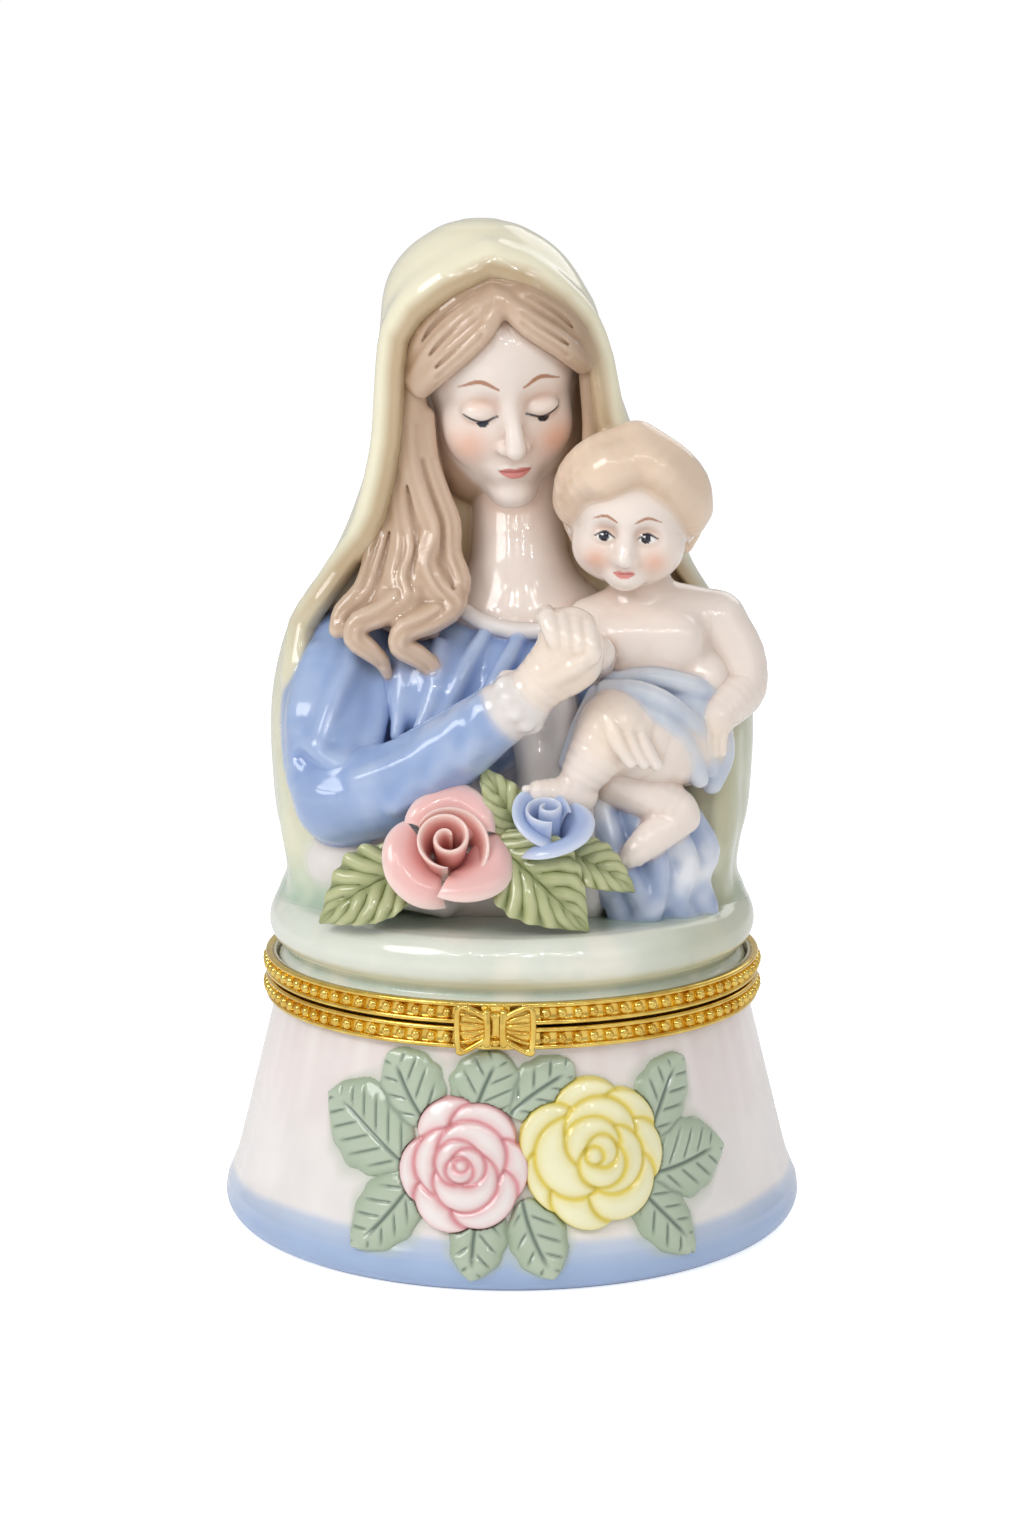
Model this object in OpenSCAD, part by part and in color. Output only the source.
// Porcelain mother-and-child figure on a round trinket box.
// The figure is the lid. Two beaded brass rims join lid and bowl.
// A hinge stands behind and a bow catch in front.
// Millimetres, +Z up, origin at the centre of the foot, front of the box towards -Y.

/* [Bowl] */
// Widest radius of the foot
foot_r = 35.5; // [34.5:0.1:36]
// Height of the porcelain bowl
bowl_h = 29.5; // [28.5:0.1:29.5]
// Thickness of the porcelain
wall = 3.0; // [2:0.1:3.5]

/* [Rims] */
// Outer radius of both brass rims
rim_r = 30.0; // [29.8:0.1:30.2]
// Height of one rim
rim_h = 2.6; // [2.4:0.1:2.8]
// Gap between the closed rims
rim_gap = 0.3; // [0.2:0.05:0.4]
// Radius of one bead
bead_r = 0.62; // [0.4:0.01:0.7]
// Beads in a full circle
bead_count = 100; // [60:1:110]

/* [Hinge and catch] */
// Radius of the hinge pin
pin_r = 0.5; // [0.4:0.05:0.6]
// Outer radius of the hinge knuckles
knuckle_r = 1.15; // [1:0.05:1.2]
// Width of the bow on the catch
bow_w = 8.8; // [8:0.1:9]

/* [Figure] */
// Angle by which the figure and the relief are turned from the catch
figure_turn = 3.5; // [0:0.5:6]
// Thickness of the relief leaves
leaf_relief = 1.2; // [0.8:0.1:1.4]
// Thickness of the relief roses
rose_relief = 1.7; // [1.2:0.1:2]

/* [Hidden] */
NODES = [
    "base_bowl", "relief_leaves", "relief_rose_pink", "relief_rose_yellow",
    "lower_cement", "lower_rim", "lower_beads", "lower_hinge_leaf", "hinge_pin", "catch_stud",
    "upper_rim", "upper_beads", "upper_hinge_leaf", "upper_cement", "catch_tongue", "catch_bow",
    "lid_plinth", "cloak", "skirt", "bodice", "drape", "mother_neck", "collar",
    "hair_front", "hair_locks", "mother_head",
    "child_torso", "loincloth", "child_right_arm", "child_hair", "child_head", "child_left_arm",
    "child_left_leg", "child_right_leg", "mother_left_hand",
    "upper_sleeve", "forearm_sleeve", "cuff", "mother_right_hand",
    "leaf_left", "leaf_top", "leaf_front", "leaf_right",
    "rose_petal_top", "rose_petal_left", "rose_petal_right", "rose_wrap", "rose_coil",
    "bud_petal_back", "bud_petal_right", "bud_petal_left", "bud_coil"
];

// The figure's pieces from the back to the front. Each is cut away where a later one stands.
FIGURE = [for (i = [search(["cloak"], NODES)[0]:len(NODES) - 1]) NODES[i]];

cream = [0.93, 0.90, 0.78];
pale_green = [0.80, 0.85, 0.76];
leaf_green = [0.66, 0.71, 0.50];
sage = [0.68, 0.74, 0.66];
white_glaze = [0.94, 0.92, 0.92];
skin = [0.93, 0.87, 0.82];
hair_tan = [0.82, 0.72, 0.62];
dress_blue = [0.56, 0.66, 0.84];
bud_blue = [0.72, 0.76, 0.92];
pale_blue = [0.82, 0.86, 0.92];
rose_pink = [0.95, 0.72, 0.72];
relief_pink = [0.96, 0.83, 0.84];
relief_yellow = [0.96, 0.93, 0.66];
gold = [0.83, 0.66, 0.22];
plaster = [0.85, 0.83, 0.78];

lower_z = bowl_h + 0.7 - rim_h;              // underside of the lower rim
lower_top = lower_z + rim_h;
upper_z = lower_top + rim_gap;               // underside of the upper rim
upper_top = upper_z + rim_h;
hinge_y = rim_r + 1.3;
hinge_z = lower_top + rim_gap / 2;
plinth_top = 40;
mouth_r = 29.0;                              // porcelain radius inside the rims

drum_low_z = 9;
drum_slope = (33.6 - mouth_r) / (bowl_h - 2 - drum_low_z);
function drum_r(z) = 33.6 - (z - drum_low_z) * drum_slope;

// ---------- general shapes ----------

function arc(c, r, a0, a1, n) = [for (i = [0:n]) let (a = a0 + (a1 - a0) * i / n) c + r * [cos(a), sin(a)]];

// A limb: balls [x, y, z, r] joined in order.
module limb(balls, fn = 10) {
    for (i = [0:len(balls) - 2])
        hull() {
            ball(balls[i], fn);
            ball(balls[i + 1], fn);
        }
}

module ball(b, fn = 10) {
    translate([b[0], b[1], b[2]]) sphere(r = b[3], $fn = fn);
}

// One smooth lump around several balls.
module lump(balls, fn = 14) {
    hull() for (b = balls) ball(b, fn);
}

// Smooth curve from b to c, with a and d the values before and after them.
function cubic(a, b, c, d, t) =
    b + 0.5 * t * (c - a + t * (2 * a - 5 * b + 4 * c - d + t * (3 * (b - c) + d - a)));

// Stations [z, centre x, half width, front y, back y], with extra rings between them.
function refine(s, k) = [
    for (i = [0:len(s) - 2], j = [0:k - 1])
        cubic(s[max(i - 1, 0)], s[i], s[i + 1], s[min(i + 2, len(s) - 1)], j / k),
    s[len(s) - 1]
];

// A closed body through oval rings, one for each station.
module loft(stations, n = 28, power = 2.2) {
    rings = [for (s = stations) [for (j = [0:n - 1])
        let (a = 360 * j / n, half = (s[4] - s[3]) / 2)
        [s[1] + s[2] * sign(cos(a)) * pow(abs(cos(a)), 2 / power),
         (s[3] + s[4]) / 2 + half * sign(sin(a)) * pow(abs(sin(a)), 2 / power), s[0]]]];
    m = len(rings);
    polyhedron(
        points = [for (r = rings) each r],
        faces = concat(
            [[for (j = [0:n - 1]) j]],
            [for (i = [0:m - 2], j = [0:n - 1]) [i * n + j, (i + 1) * n + j, (i + 1) * n + (j + 1) % n]],
            [for (i = [0:m - 2], j = [0:n - 1]) [i * n + j, (i + 1) * n + (j + 1) % n, i * n + (j + 1) % n]],
            [[for (j = [n - 1:-1:0]) (m - 1) * n + j]]
        )
    );
}

// A thin closed sheet between two grids of points, P on the outside.
module sheet(P, Q) {
    m = len(P);
    n = len(P[0]);
    k = m * n;
    polyhedron(
        points = concat([for (r = P) each r], [for (r = Q) each r]),
        faces = concat(
            [for (i = [0:m - 2], j = [0:n - 2]) let (p = i * n + j) [p, p + 1, p + n + 1]],
            [for (i = [0:m - 2], j = [0:n - 2]) let (p = i * n + j) [p, p + n + 1, p + n]],
            [for (i = [0:m - 2], j = [0:n - 2]) let (q = k + i * n + j) [q, q + n + 1, q + 1]],
            [for (i = [0:m - 2], j = [0:n - 2]) let (q = k + i * n + j) [q, q + n, q + n + 1]],
            [for (i = [0:m - 2]) [i * n, (i + 1) * n, k + (i + 1) * n]],
            [for (i = [0:m - 2]) [i * n, k + (i + 1) * n, k + i * n]],
            [for (i = [0:m - 2]) [i * n + n - 1, k + (i + 1) * n + n - 1, (i + 1) * n + n - 1]],
            [for (i = [0:m - 2]) [i * n + n - 1, k + i * n + n - 1, k + (i + 1) * n + n - 1]],
            [for (j = [0:n - 2]) [j, k + j + 1, j + 1]],
            [for (j = [0:n - 2]) [j, k + j, k + j + 1]],
            [for (j = [0:n - 2]) [(m - 1) * n + j, (m - 1) * n + j + 1, k + (m - 1) * n + j + 1]],
            [for (j = [0:n - 2]) [(m - 1) * n + j, k + (m - 1) * n + j + 1, k + (m - 1) * n + j]]
        )
    );
}

// ---------- bowl and relief ----------

// Outer profile of the bowl, [radius, height], grown outwards by grow.
function bowl_profile(grow) = concat(
    [[0, 1.5], [30.2, 1.5], [31, 0], [foot_r - 2.2, 0]],
    arc([foot_r - 2.9, 2.9], 2.9 + grow, -70, 20, 6),
    [[34.3 + grow, 6.6], [drum_r(drum_low_z) + grow, drum_low_z], [mouth_r + grow, bowl_h - 2],
     [mouth_r + grow, bowl_h], [0, bowl_h]]
);

module bowl_solid(grow = 0) {
    rotate_extrude($fn = 96) polygon(bowl_profile(grow));
}

module base_bowl() {
    color(white_glaze)
    difference() {
        bowl_solid();
        rotate_extrude($fn = 96)
            polygon(concat(
                [[0, 5], [25, 5]], arc([25, 9], 4, -90, 0, 5),
                [[mouth_r - wall, bowl_h - 4], [mouth_r - wall, bowl_h + 1], [0, bowl_h + 1]]
            ));
    }
}

// What a shape drawn in the plane of the front covers on the bowl, raised by height.
module sprig(turn, z, height) {
    rotate([0, 0, figure_turn])
    difference() {
        intersection() {
            rotate([0, 0, turn]) translate([0, -20, z]) rotate([90, 0, 0]) linear_extrude(20) children();
            bowl_solid(height);
            cylinder(r = foot_r, h = bowl_h - 2.2, $fn = 96);
        }
        bowl_solid();
    }
}

function leaf_outline(long, wide) = [
    for (i = [1:9]) [wide / 2 * pow(sin(18 * i), 0.8), long * (i / 10 - 0.5)],
    for (i = [9:-1:1]) [-wide / 2 * pow(sin(18 * i), 0.8), long * (i / 10 - 0.5)]
];

// Relief leaves: [turn about the bowl, height, length, width, lean].
relief_leaf = [
    [-33, 17.6, 12, 9.4, 62], [-22.5, 23.4, 7.6, 7, 38], [-6.2, 23.6, 7.2, 7, -14], [6.4, 23.6, 7.2, 6, -50],
    [34.5, 21.4, 9, 6.6, -46], [39.5, 13.6, 10, 8.4, -86], [31.5, 7.2, 8.6, 5.6, -152],
    [-25.5, 8.6, 9, 6.6, 138], [-6, 6.4, 7, 5, 172], [5.2, 6.4, 7, 5, -160]
];

module relief_leaves() {
    color(sage)
    difference() {
        for (l = relief_leaf)
            sprig(l[0], l[1], leaf_relief) rotate(l[4]) polygon(leaf_outline(l[2], l[3]));
        sprig(pink_at[0], pink_at[1], 4) rose_outline(pink_at[2]);
        sprig(yellow_at[0], yellow_at[1], 4) rose_outline(yellow_at[2]);
    }
}

// Relief roses: [turn about the bowl, height, radius].
pink_at = [-9.9, 14.7, 6.6];
yellow_at = [16.7, 15.8, 7.9];

module rose_outline(r) {
    circle(r = 0.72 * r, $fn = 48);
    for (i = [0:4]) rotate(72 * i + 18) translate([0.5 * r, 0]) circle(r = 0.5 * r, $fn = 32);
}

module relief_rose(at) {
    sprig(at[0], at[1], rose_relief) rose_outline(at[2]);
}

module relief_rose_pink() {
    color(relief_pink) relief_rose(pink_at);
}

module relief_rose_yellow() {
    color(relief_yellow)
    difference() {
        relief_rose(yellow_at);
        sprig(pink_at[0], pink_at[1], 4) rose_outline(pink_at[2]);
    }
}

// ---------- brass ----------

band_r = rim_r - 0.6;                        // inside of a rim's band
lip_r = mouth_r - wall - 0.2;                // inside of a rim's lip
lip_h = 0.5;
cement_h = 0.2;

// A rim: a band outside the porcelain and a lip over its edge, drawn with the lip on top.
module rim_ring() {
    under_lip = rim_h - lip_h;
    rotate_extrude($fn = 120)
        polygon([[band_r, 0], [rim_r, 0], [rim_r, rim_h], [lip_r, rim_h],
                 [lip_r, under_lip], [band_r, under_lip]]);
}

module cement_ring() {
    under_lip = rim_h - lip_h;
    porcelain = under_lip - cement_h;
    rotate_extrude($fn = 120)
        polygon([[mouth_r, cement_h], [band_r, cement_h], [band_r, under_lip], [mouth_r - wall, under_lip],
                 [mouth_r - wall, porcelain], [mouth_r, porcelain]]);
}

module lower_rim() {
    color(gold) translate([0, 0, lower_z]) rim_ring();
}

module lower_cement() {
    color(plaster) translate([0, 0, lower_z]) cement_ring();
}

module upper_rim() {
    color(gold) translate([0, 0, upper_top]) mirror([0, 0, 1]) rim_ring();
}

module upper_cement() {
    color(plaster) translate([0, 0, upper_top]) mirror([0, 0, 1]) cement_ring();
}

hinge_half = 5.4;                            // half the width of the hinge
middle_half = 1.9;                           // half the width of its middle knuckle
knuckle_gap = 0.1;
leaf_in = 0.3;                               // how far the leaves reach into the beads' circle
pin_head_r = 0.8;
pin_head_w = 0.4;

// Beads round a rim, left out behind the catch and the hinge.
module bead_row(z) {
    step = 360 / bead_count;
    catch_gap = asin((bow_w / 2 + 0.7) / rim_r);
    hinge_gap = asin((hinge_half + 1.4) / rim_r);
    color(gold)
    for (i = [0:bead_count - 1])
        let (a = step * (i + 0.5), from_front = min(a, 360 - a))
        if (from_front > catch_gap && from_front < 180 - hinge_gap)
            rotate([0, 0, a]) difference() {
                translate([0, -rim_r, z]) sphere(r = bead_r, $fn = 16);
                translate([0, 0, z - 1]) cylinder(r = rim_r, h = 2, $fn = 120);
            }
}

module lower_beads() {
    bead_row(lower_z + rim_h / 2);
}

module upper_beads() {
    bead_row(upper_z + rim_h / 2);
}

// A tube along X for the hinge, from x0 to x1.
module along_x(x0, x1, r) {
    translate([x0, 0, 0]) rotate([0, 90, 0]) cylinder(r = r, h = x1 - x0, $fn = 32);
}

module lower_hinge_leaf() {
    side_w = hinge_half - middle_half - knuckle_gap;
    color(gold)
    difference() {
        union() {
            translate([-hinge_half, band_r, lower_z + 0.2]) cube([2 * hinge_half, 1.7, 1.4]);
            for (x = [-hinge_half, middle_half + knuckle_gap]) {
                translate([x, rim_r - leaf_in, lower_z + 0.6]) cube([side_w, 1.9, hinge_z - lower_z - 0.6]);
                translate([0, hinge_y, hinge_z]) along_x(x, x + side_w, knuckle_r);
            }
        }
        cylinder(r = rim_r, h = 60, $fn = 120);
        translate([0, hinge_y, hinge_z]) along_x(-8, 8, pin_r);
        translate([-8, rim_r - 1, hinge_z]) cube([16, 1.25, 3]);
    }
}

module upper_hinge_leaf() {
    color(gold)
    difference() {
        union() {
            translate([-hinge_half, band_r, upper_top - 1.5]) cube([2 * hinge_half, 1.7, 1.3]);
            translate([-middle_half, rim_r - leaf_in, hinge_z])
                cube([2 * middle_half, 1.6, upper_top - 0.6 - hinge_z]);
            translate([0, hinge_y, hinge_z]) along_x(-middle_half, middle_half, knuckle_r);
        }
        cylinder(r = rim_r, h = 60, $fn = 120);
        translate([0, hinge_y, hinge_z]) along_x(-8, 8, pin_r + 0.05);
    }
}

module hinge_pin() {
    color(gold)
    translate([0, hinge_y, hinge_z]) {
        along_x(-hinge_half, hinge_half, pin_r);
        for (x = [-hinge_half - pin_head_w, hinge_half]) along_x(x, x + pin_head_w, pin_head_r);
    }
}

stud_z = lower_z + 1.1;
stud_r = 0.35;
stud_head_r = 0.45;
tongue_w = 3.2;
tongue_t = 0.5;
tongue_y = -rim_r - 0.65;                    // front face of the tongue
slot_w = 1.0;

module catch_stud() {
    color(gold)
    difference() {
        union() {
            translate([0, -rim_r + 0.5, stud_z]) rotate([90, 0, 0]) cylinder(r = stud_r, h = 1.6, $fn = 24);
            translate([0, tongue_y - 0.5, stud_z]) sphere(r = stud_head_r, $fn = 24);
        }
        cylinder(r = rim_r, h = 60, $fn = 120);
    }
}

// Spring strip soldered to the upper rim, slotted to drop over the stud.
module catch_tongue() {
    color(gold)
    difference() {
        union() {
            translate([-tongue_w / 2, tongue_y, lower_z + 0.2])
                cube([tongue_w, tongue_t, upper_top - lower_z - 0.5]);
            translate([-tongue_w / 2, -rim_r - 0.3, upper_z + 0.5]) cube([tongue_w, 0.8, rim_h - 0.8]);
        }
        cylinder(r = rim_r, h = 60, $fn = 120);
        translate([0, -rim_r + 1, stud_z]) rotate([90, 0, 0]) cylinder(r = slot_w / 2, h = 3, $fn = 24);
        translate([-slot_w / 2, -rim_r - 2, lower_z - 1]) cube([slot_w, 3, stud_z - lower_z + 1]);
    }
}

bow_z = (lower_z + upper_top) / 2;

// One loop of the bow: a raised edge, a thin web and three pleats.
module bow_loop() {
    half = bow_w / 2;
    edge_t = 0.9;
    web_t = 0.35;
    pleat_r = 0.3;
    edge = [[0.9, -1.1], [half - 0.9, -3.0], [half, -2.5], [half, 2.3], [half - 0.7, 2.9],
            [2.2, 2.8], [0.9, 1.2]];
    web = [[1.3, -0.8], [half - 1.0, -2.3], [half - 0.5, -2.1], [half - 0.5, 1.9], [half - 0.9, 2.3],
           [2.3, 2.2], [1.3, 0.9]];
    rotate([90, 0, 0]) {
        linear_extrude(edge_t) difference() {
            polygon(edge);
            polygon(web);
        }
        linear_extrude(web_t) polygon(edge);
    }
    for (a = [-28, -2, 24])
        translate([1.1, -1.5 * pleat_r, 0.35 * sin(a)]) rotate([0, -a, 0]) along_x(0, half - 1.7, pleat_r);
}

module catch_bow() {
    color(gold)
    translate([0, tongue_y, bow_z])
    difference() {
        union() {
            bow_loop();
            mirror([1, 0, 0]) bow_loop();
            for (x = [-0.95, 0.95])
                translate([x, -0.55, -1.7]) cylinder(r = 0.42, h = 3.6, $fn = 24);
            translate([-1, -1.0, 1.2]) cube([2, 1, 0.7]);
        }
        translate([-5, 0, -5]) cube([10, 5, 10]);
    }
}

// ---------- lid ----------

module lid_plinth() {
    waist_r = 27.4;
    color(pale_green)
    difference() {
        rotate_extrude($fn = 120)
            polygon(concat(
                [[0, upper_z + 0.7], [mouth_r, upper_z + 0.7], [mouth_r, upper_z + 1.5],
                 [waist_r, upper_z + 1.5], [waist_r, upper_top + 1]],
                arc([26.6, 37.2], 3.1, -72, 70, 8),
                [[26.4, plinth_top], [0, plinth_top]]
            ));
        translate([0, 0, upper_z]) cylinder(r = mouth_r - wall, h = 6, $fn = 96);
        translate([0, 5.5, 30]) cylinder(r = 14.5, h = 20, $fn = 64);
    }
}

// Stations of the cloak: [z, centre x, half width, front y, back y].
cloak_stations = [
    [plinth_top, 0, 28.1, -19, 23], [46, 0, 27.9, -19, 23], [54, 0, 29.1, -19, 23.5],
    [62, -0.1, 29.4, -17.5, 23], [70, -0.2, 27.8, -14.5, 21], [77, -0.6, 23.6, -12, 18.5],
    [84, 0, 20.0, -12, 16.5], [91, 0, 17.1, -12.5, 15.5],
    [98, -1.2, 15.0, -12.8, 15], [105, -2.2, 13.8, -12.4, 14.8], [112, -2.8, 12.1, -11, 13.2],
    [116.5, -3.4, 9.0, -8.5, 10], [119.5, -3.7, 4.8, -4.6, 6], [120.7, -3.7, 1.6, -1.6, 2.6]
];

module cloak_form() {
    difference() {
        loft(refine(cloak_stations, 2));
        cloak_opening();
    }
}

// The opening that the face, hair and dress show through.
module cloak_opening() {
    for (i = [0:2])
        hull() {
            opening_slice(i);
            opening_slice(i + 1);
        }
}

// Slices of the opening: [z, centre x, half width, half height].
opening_at = [[104, -1.9, 10.6, 9.6], [92, -1.6, 12.0, 8], [78, -1, 17, 8], [58, 0, 26.2, 15]];

module opening_slice(i) {
    o = opening_at[i];
    translate([o[1], -2, o[0]]) scale([o[2], 1, o[3]]) rotate([90, 0, 0]) cylinder(r = 1, h = 30, $fn = 24);
}

module skirt_form() {
    lump([[-15, -1, 45, 9], [15, -1, 45, 9], [-6, -6, 46, 10], [8, -7, 47, 10]]);
}

module bodice_form() {
    lump([[-15, 1, 65.5, 8.5], [13, 1, 65, 8.5], [-2, -3, 62, 11], [0, -2, 52, 12]]);
    limb([[-10, -11.5, 69.5, 1.6], [-8.5, -13.6, 62, 1.5]]);
    limb([[-4, -12, 71, 1.4], [-6, -14.0, 64, 1.6]]);
}

module drape_form() {
    limb([[13, -12.5, 52, 3.6], [13.6, -15, 42, 4.2]]);
    limb([[18, -11.5, 50, 4], [18.4, -14, 42, 4.4]]);
    limb([[21.2, -9.5, 47, 3.2], [20.8, -11, 42, 3.8]]);
}

module neck_form() {
    limb([[0.2, -0.5, 91, 6.0], [0.8, -1, 81, 6.3], [1.2, -2.2, 75.5, 7.6]], 16);
    lump([[-3.5, -3, 74, 5.4], [6, -3, 74.4, 5.4], [1, -4, 72.5, 5]]);
}

module collar_form() {
    limb([[-7.2, -5.5, 77.4, 0.9], [-5.2, -8.2, 74.6, 1], [-2, -9.8, 73.1, 1], [2, -10.2, 72.7, 1],
          [6, -9.6, 73.3, 1], [9.8, -7.6, 75.4, 1]], 12);
}

module hair_front_form() {
    lump([[-1.9, 2.4, 104, 10.6], [-1.6, 3, 99, 10.2]]);
    limb([[-1.9, -7.6, 112, 1.9], [-6, -9.2, 110, 2.2], [-9.8, -7.8, 106.2, 2.2], [-11.2, -5.6, 102.4, 2]]);
    limb([[-0.6, -7.8, 111.8, 1.9], [3.6, -9, 109.2, 2.1], [7.2, -7.6, 106, 2], [8.6, -5.6, 102.6, 1.8]]);
}

module hair_locks_form() {
    limb([[-11.4, -5.4, 102, 1.9], [-11.7, -5.8, 96, 2], [-11.2, -6, 91, 2.1], [-9.4, -6.4, 87, 2.2],
          [-10.6, -7.2, 83, 2.3], [-8.8, -8.6, 79.4, 2.3], [-12, -9.8, 75.6, 2.2], [-10.4, -10.8, 71.6, 2.1]]);
    limb([[-12.8, -3.4, 92, 2.2], [-14, -4.4, 86, 2.4], [-15.6, -6.4, 80, 2.5], [-17.6, -8, 76, 2.2],
          [-16, -9.4, 72.6, 2]]);
    limb([[9.2, -4.4, 102, 1.6], [9.6, -4.6, 95, 1.6], [9.4, -4.4, 88, 1.6]]);
}

module mother_head_form() {
    lump([[-1.8, -0.6, 102.6, 9.4], [-5, -3.6, 97, 4.9], [3.6, -3.6, 97.4, 4.9], [0.2, -6.2, 91, 3]], 18);
    limb([[-0.8, -9.4, 100.5, 0.9], [-0.3, -10.3, 96.2, 1.3]], 12);
}

module child_torso_form() {
    lump([[15.5, -9.5, 71, 6.6], [22.6, -8, 72.8, 4.6], [11, -9, 72.2, 4.4], [16.5, -10, 65, 6.6],
          [19, -9, 61, 6]]);
    limb([[15.2, -9.6, 74, 4.2], [14.6, -10.2, 80, 4.2]]);
}

module loincloth_form() {
    limb([[12.3, -14, 67.4, 2], [17, -15.6, 66.4, 2.5], [21.5, -14.6, 64, 2.8], [24.6, -12, 60, 2.8],
          [24.4, -11, 57, 2.2]]);
    limb([[12.6, -16.6, 66.6, 1.7], [17, -17.8, 64.6, 2.2], [20, -17, 61.6, 2.4]]);
    limb([[10.4, -14.6, 66.6, 1.8], [7.8, -15, 62, 1.9], [6.2, -15.2, 57.6, 1.6]]);
}

module child_right_arm_form() {
    limb([[11, -10.5, 72.4, 3.4], [8.8, -15, 70, 2.6], [8.0, -18.5, 71, 2.0]]);
}

module child_hair_form() {
    lump([[14.2, -9.4, 86.9, 8.4], [18.4, -9, 83, 4]]);
    limb([[9.8, -14.4, 90.2, 2.4], [13.6, -15.2, 91.6, 2.6], [18.2, -13.8, 90, 3]]);
    limb([[8.6, -11.4, 88, 2.2], [8.4, -11.6, 83.6, 1.6]]);
}

module child_head_form() {
    lump([[13.9, -10.2, 86.2, 7.7], [10.8, -12.6, 83.2, 4.3], [16.6, -12.4, 83.4, 4.3],
          [13.6, -13.2, 81, 3.4]]);
    ball([13, -17.2, 83.8, 1.2]);
}

module child_left_arm_form() {
    limb([[25.2, -8.4, 72.8, 3.8], [27.0, -9, 67.4, 3.3], [24.6, -12.6, 65, 2.5], [23, -14.2, 62.8, 2.2]]);
    limb([[22.6, -14.8, 62, 1.5], [22.4, -14.8, 60.6, 1.0]]);
}

module child_left_leg_form() {
    limb([[11.5, -15.8, 56.4, 2.8], [18, -16, 53.8, 2.8], [19.6, -16.8, 51.7, 2.1]]);
    limb([[19.6, -16.8, 51.7, 2.1], [16.5, -18, 50, 2.2], [14.2, -18.9, 48.4, 1.5]]);
}

module child_right_leg_form() {
    limb([[20.4, -12, 60.2, 5.4], [15.6, -16, 61, 5.4], [11.3, -19.6, 64.2, 3.6]]);
    limb([[11.3, -19.6, 64.2, 3.6], [8.8, -19.8, 60, 3.2], [6.6, -19.6, 57, 2.3]]);
    limb([[8.2, -18.6, 55.6, 2.1], [4.2, -20.8, 56, 1.7], [2, -21.6, 56, 1.2]]);
}

module mother_left_hand_form() {
    for (i = [0:2])
        limb([[10.8 + 1.5 * i, -22.4 + 0.5 * i, 64.4 - 0.4 * i, 0.9],
              [12.9 + 1.5 * i, -22.2 + 0.7 * i, 60.6 - 0.3 * i, 0.8]]);
}

module upper_sleeve_form() {
    limb([[-20.6, -2.6, 67.6, 5.8], [-21.8, -8, 60, 6.1], [-20.2, -12.6, 54.6, 5.7]], 18);
}

module forearm_sleeve_form() {
    limb([[-19.6, -13.4, 54.2, 5.6], [-10, -17, 58.6, 4.7], [-1.8, -19.6, 64, 3.6]], 18);
}

module cuff_form() {
    limb([[-1.2, -20, 64.6, 3.3], [1.4, -20.6, 65.8, 3.1]], 18);
}

module mother_right_hand_form() {
    limb([[0.6, -20.6, 65.6, 2.5], [5.2, -21.8, 70.6, 4.1], [6.8, -21.4, 73, 3.3]], 18);
    for (i = [0:3])
        limb([[4.1 + 1.3 * i, -22.9, 74.7 - 0.2 * i, 1.3], [5.5 + 1.3 * i, -24.2, 72.6 - 0.3 * i, 1.1]]);
}

// A leaf as a folded sheet from base to tip, with its half width, the side it faces and its fold's depth.
module leaf_form(base, tip, half, face, fold, thick = 0.9) {
    along = tip - base;
    across = cross(face, along) / norm(cross(face, along));
    up = face / norm(face);
    function spot(i, j, lift) =
        let (t = i / 8, w = half * pow(sin(180 * (0.06 + 0.9 * t)), 0.75), s = j / 3)
        base + along * t + across * w * s + up * (lift + fold * abs(s) * sin(180 * t) - 0.5 * fold * t);
    sheet(
        [for (i = [0:8]) [for (j = [-3:3]) spot(i, j, thick)]],
        [for (i = [0:8]) [for (j = [-3:3]) spot(i, j, 0)]]
    );
}

// The frame that the pink rose is built in, along its own Z.
module rose() {
    translate([-7.8, -20.2, 46.8]) rotate([42, 0, 0]) children();
}

// The frame of the small blue rose.
module bud() {
    translate([3.9, -20.5, 48.6]) rotate([28, 0, 0]) children();
}

// The rolled middle of a flower, a ribbon wound about Z.
module coil_form(r, h) {
    cylinder(r1 = 0.55 * r, r2 = 0.7 * r, h = h - 0.8, $fn = 12);
    for (i = [0:9])
        hull() {
            coil_post(r, h, i);
            coil_post(r, h, i + 1);
        }
}

module coil_post(r, h, i) {
    rotate(48 * i) translate([r * (0.2 + 0.065 * i), 0, 0]) cylinder(r = 0.35, h = h - 0.12 * i, $fn = 8);
}

// A cupped petal about Z. at is its direction, spread its half angle, r0 and r1 the radii at foot and edge.
module petal_form(at, spread, r0, r1, h0, h1, curl, thick = 0.7) {
    function spot(i, j, in) =
        let (t = i / 5, s = j / 3, edge = 1 - 0.22 * s * s,
             r = r0 + (r1 - r0) * pow(t, 1.2) - 0.6 * in, a = at + spread * s * (0.75 + 0.25 * t))
        [r * cos(a), r * sin(a), h0 + (h1 - h0) * t * edge - curl * pow(t, 4) + 0.8 * in];
    sheet(
        [for (i = [0:5]) [for (j = [3:-1:-3]) spot(i, j, 0)]],
        [for (i = [0:5]) [for (j = [3:-1:-3]) spot(i, j, thick)]]
    );
}

// Everything hollow inside the lid above the plinth.
module hollow_form() {
    loft([
        [plinth_top - 6, 0, 20, -7, 19], [46, 0, 22, -7, 19.5], [56, 0, 23.5, -6, 20], [66, 0, 21, -4, 18.5],
        [74, -0.5, 15, -1, 15], [82, -1, 9, 5, 12.5], [88, -1, 4, 7.5, 11.5]
    ], 24);
}

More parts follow.
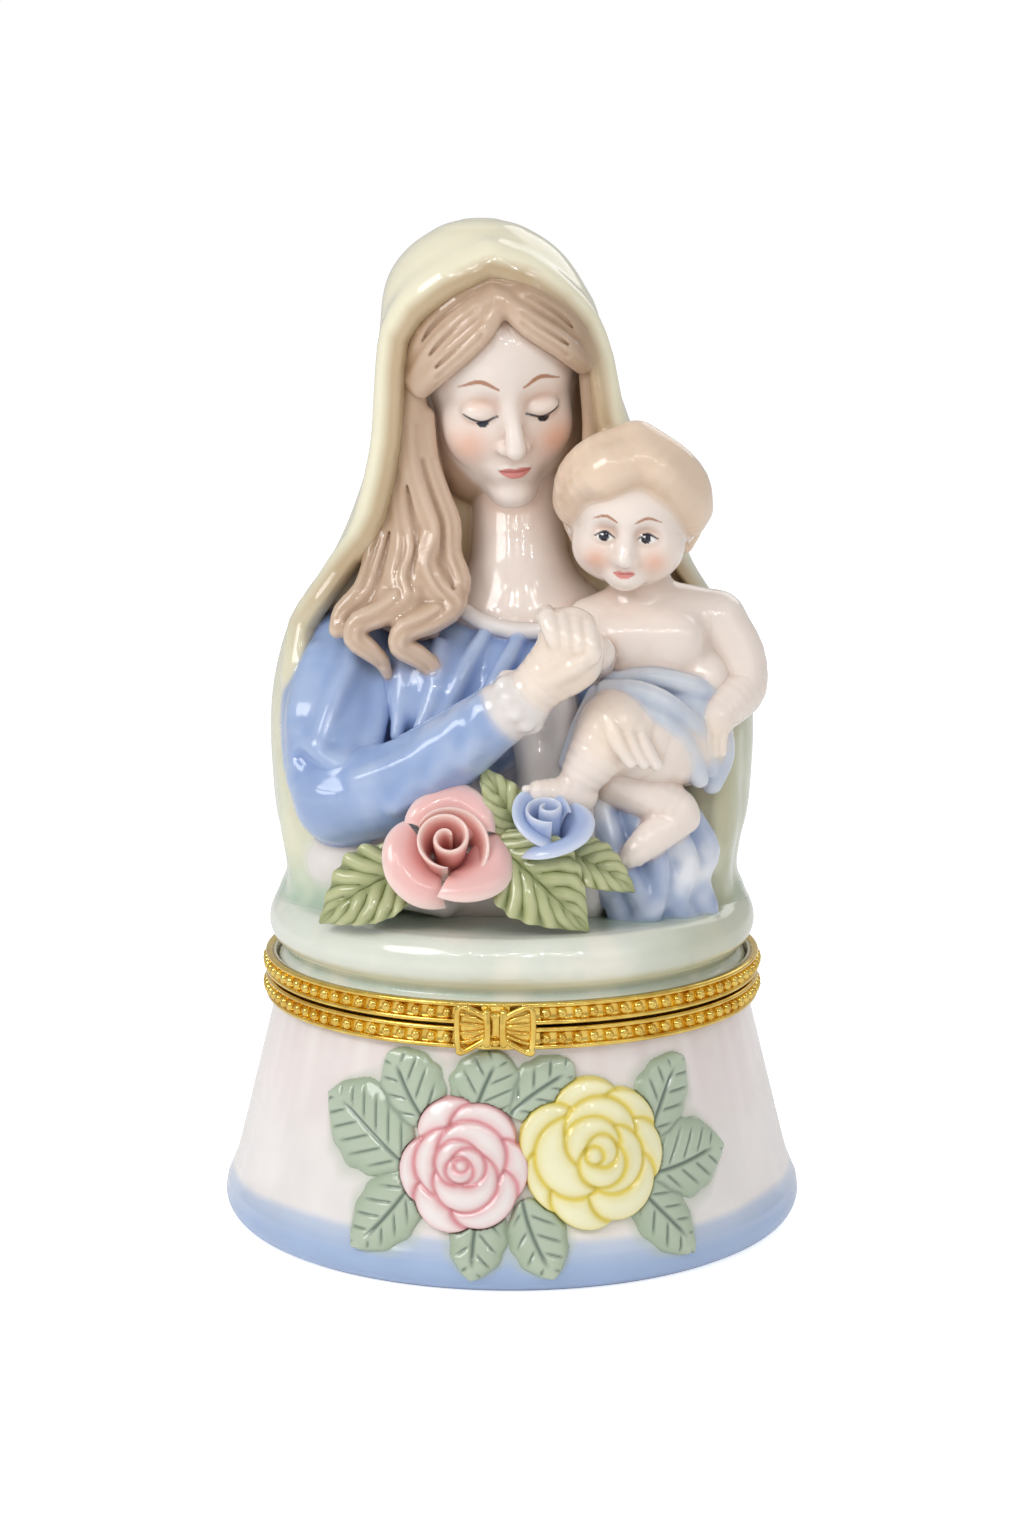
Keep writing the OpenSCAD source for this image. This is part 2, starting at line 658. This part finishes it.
// The whole body of one piece of the figure, before its neighbours are cut from it.
module form(name) {
    if (name == "cloak") cloak_form();
    if (name == "skirt") skirt_form();
    if (name == "bodice") bodice_form();
    if (name == "drape") drape_form();
    if (name == "mother_neck") neck_form();
    if (name == "collar") collar_form();
    if (name == "hair_front") hair_front_form();
    if (name == "hair_locks") hair_locks_form();
    if (name == "mother_head") mother_head_form();
    if (name == "child_torso") child_torso_form();
    if (name == "loincloth") loincloth_form();
    if (name == "child_right_arm") child_right_arm_form();
    if (name == "child_hair") child_hair_form();
    if (name == "child_head") child_head_form();
    if (name == "child_left_arm") child_left_arm_form();
    if (name == "child_left_leg") child_left_leg_form();
    if (name == "child_right_leg") child_right_leg_form();
    if (name == "mother_left_hand") mother_left_hand_form();
    if (name == "upper_sleeve") upper_sleeve_form();
    if (name == "forearm_sleeve") forearm_sleeve_form();
    if (name == "cuff") cuff_form();
    if (name == "mother_right_hand") mother_right_hand_form();
    if (name == "leaf_left") leaf_form([-13.5, -20.5, 46.5], [-21.2, -19.4, 40.9], 4.4, [-0.3, -1, 0.5], 1.2);
    if (name == "leaf_top") leaf_form([-0.6, -20.5, 50], [-3.4, -18.6, 57.4], 2.6, [0.3, -1, 0.1], 0.8);
    if (name == "leaf_front") leaf_form([0.2, -21.5, 49.4], [7.2, -24.2, 41], 5.2, [0, -1, 0.3], 1.4);
    if (name == "leaf_right") leaf_form([6.6, -20.8, 49], [12.6, -21.4, 45], 2.8, [0.2, -1, 0.4], 0.8);
    if (name == "rose_petal_top") rose() petal_form(90, 58, 2.2, 7.6, 1, 5.4, 1.6);
    if (name == "rose_petal_left") rose() petal_form(212, 56, 2.2, 7.8, 0.6, 5.2, 1.8);
    if (name == "rose_petal_right") rose() petal_form(-30, 54, 2.3, 7.6, 0.8, 5.6, 1.6);
    if (name == "rose_wrap") rose() petal_form(10, 70, 2.7, 3.7, 1, 6.6, 0.2);
    if (name == "rose_coil") rose() coil_form(2.5, 7.6);
    if (name == "bud_petal_back") bud() petal_form(80, 60, 2.2, 3.6, 1, 7, 0.3);
    if (name == "bud_petal_right") bud() petal_form(-30, 66, 2.3, 4.6, 0.6, 6.4, 0.4);
    if (name == "bud_petal_left") bud() petal_form(200, 66, 2.3, 3.9, 0.4, 7, 0.2);
    if (name == "bud_coil") bud() coil_form(1.7, 7.2);
}

module figure_piece(name) {
    i = search([name], FIGURE)[0];
    rotate([0, 0, figure_turn])
    difference() {
        form(name);
        for (j = [i + 1:1:len(FIGURE) - 1]) form(FIGURE[j]);
        hollow_form();
        translate([-50, -50, plinth_top - 60]) cube([100, 100, 60]);
    }
}

module cloak() {
    color(cream) figure_piece("cloak");
}

module skirt() {
    color(white_glaze) figure_piece("skirt");
}

module bodice() {
    color(dress_blue) figure_piece("bodice");
}

module drape() {
    color(dress_blue) figure_piece("drape");
}

module mother_neck() {
    color(skin) figure_piece("mother_neck");
}

module collar() {
    color(white_glaze) figure_piece("collar");
}

module hair_front() {
    color(hair_tan) figure_piece("hair_front");
}

module hair_locks() {
    color(hair_tan) figure_piece("hair_locks");
}

module mother_head() {
    color(skin) figure_piece("mother_head");
}

module child_torso() {
    color(skin) figure_piece("child_torso");
}

module loincloth() {
    color(pale_blue) figure_piece("loincloth");
}

module child_right_arm() {
    color(skin) figure_piece("child_right_arm");
}

module child_hair() {
    color(hair_tan) figure_piece("child_hair");
}

module child_head() {
    color(skin) figure_piece("child_head");
}

module child_left_arm() {
    color(skin) figure_piece("child_left_arm");
}

module child_left_leg() {
    color(skin) figure_piece("child_left_leg");
}

module child_right_leg() {
    color(skin) figure_piece("child_right_leg");
}

module mother_left_hand() {
    color(skin) figure_piece("mother_left_hand");
}

module upper_sleeve() {
    color(dress_blue) figure_piece("upper_sleeve");
}

module forearm_sleeve() {
    color(dress_blue) figure_piece("forearm_sleeve");
}

module cuff() {
    color(white_glaze) figure_piece("cuff");
}

module mother_right_hand() {
    color(skin) figure_piece("mother_right_hand");
}

module leaf_left() {
    color(leaf_green) figure_piece("leaf_left");
}

module leaf_top() {
    color(leaf_green) figure_piece("leaf_top");
}

module leaf_front() {
    color(leaf_green) figure_piece("leaf_front");
}

module leaf_right() {
    color(leaf_green) figure_piece("leaf_right");
}

module rose_petal_top() {
    color(rose_pink) figure_piece("rose_petal_top");
}

module rose_petal_left() {
    color(rose_pink) figure_piece("rose_petal_left");
}

module rose_petal_right() {
    color(rose_pink) figure_piece("rose_petal_right");
}

module rose_wrap() {
    color(rose_pink) figure_piece("rose_wrap");
}

module rose_coil() {
    color(rose_pink) figure_piece("rose_coil");
}

module bud_petal_back() {
    color(bud_blue) figure_piece("bud_petal_back");
}

module bud_petal_right() {
    color(bud_blue) figure_piece("bud_petal_right");
}

module bud_petal_left() {
    color(bud_blue) figure_piece("bud_petal_left");
}

module bud_coil() {
    color(bud_blue) figure_piece("bud_coil");
}

base_bowl();
relief_leaves();
relief_rose_pink();
relief_rose_yellow();
lower_cement();
lower_rim();
lower_beads();
lower_hinge_leaf();
hinge_pin();
catch_stud();
upper_rim();
upper_beads();
upper_hinge_leaf();
upper_cement();
catch_tongue();
catch_bow();
lid_plinth();
cloak();
skirt();
bodice();
drape();
mother_neck();
collar();
hair_front();
hair_locks();
mother_head();
child_torso();
loincloth();
child_right_arm();
child_hair();
child_head();
child_left_arm();
child_left_leg();
child_right_leg();
mother_left_hand();
upper_sleeve();
forearm_sleeve();
cuff();
mother_right_hand();
leaf_left();
leaf_top();
leaf_front();
leaf_right();
rose_petal_top();
rose_petal_left();
rose_petal_right();
rose_wrap();
rose_coil();
bud_petal_back();
bud_petal_right();
bud_petal_left();
bud_coil();
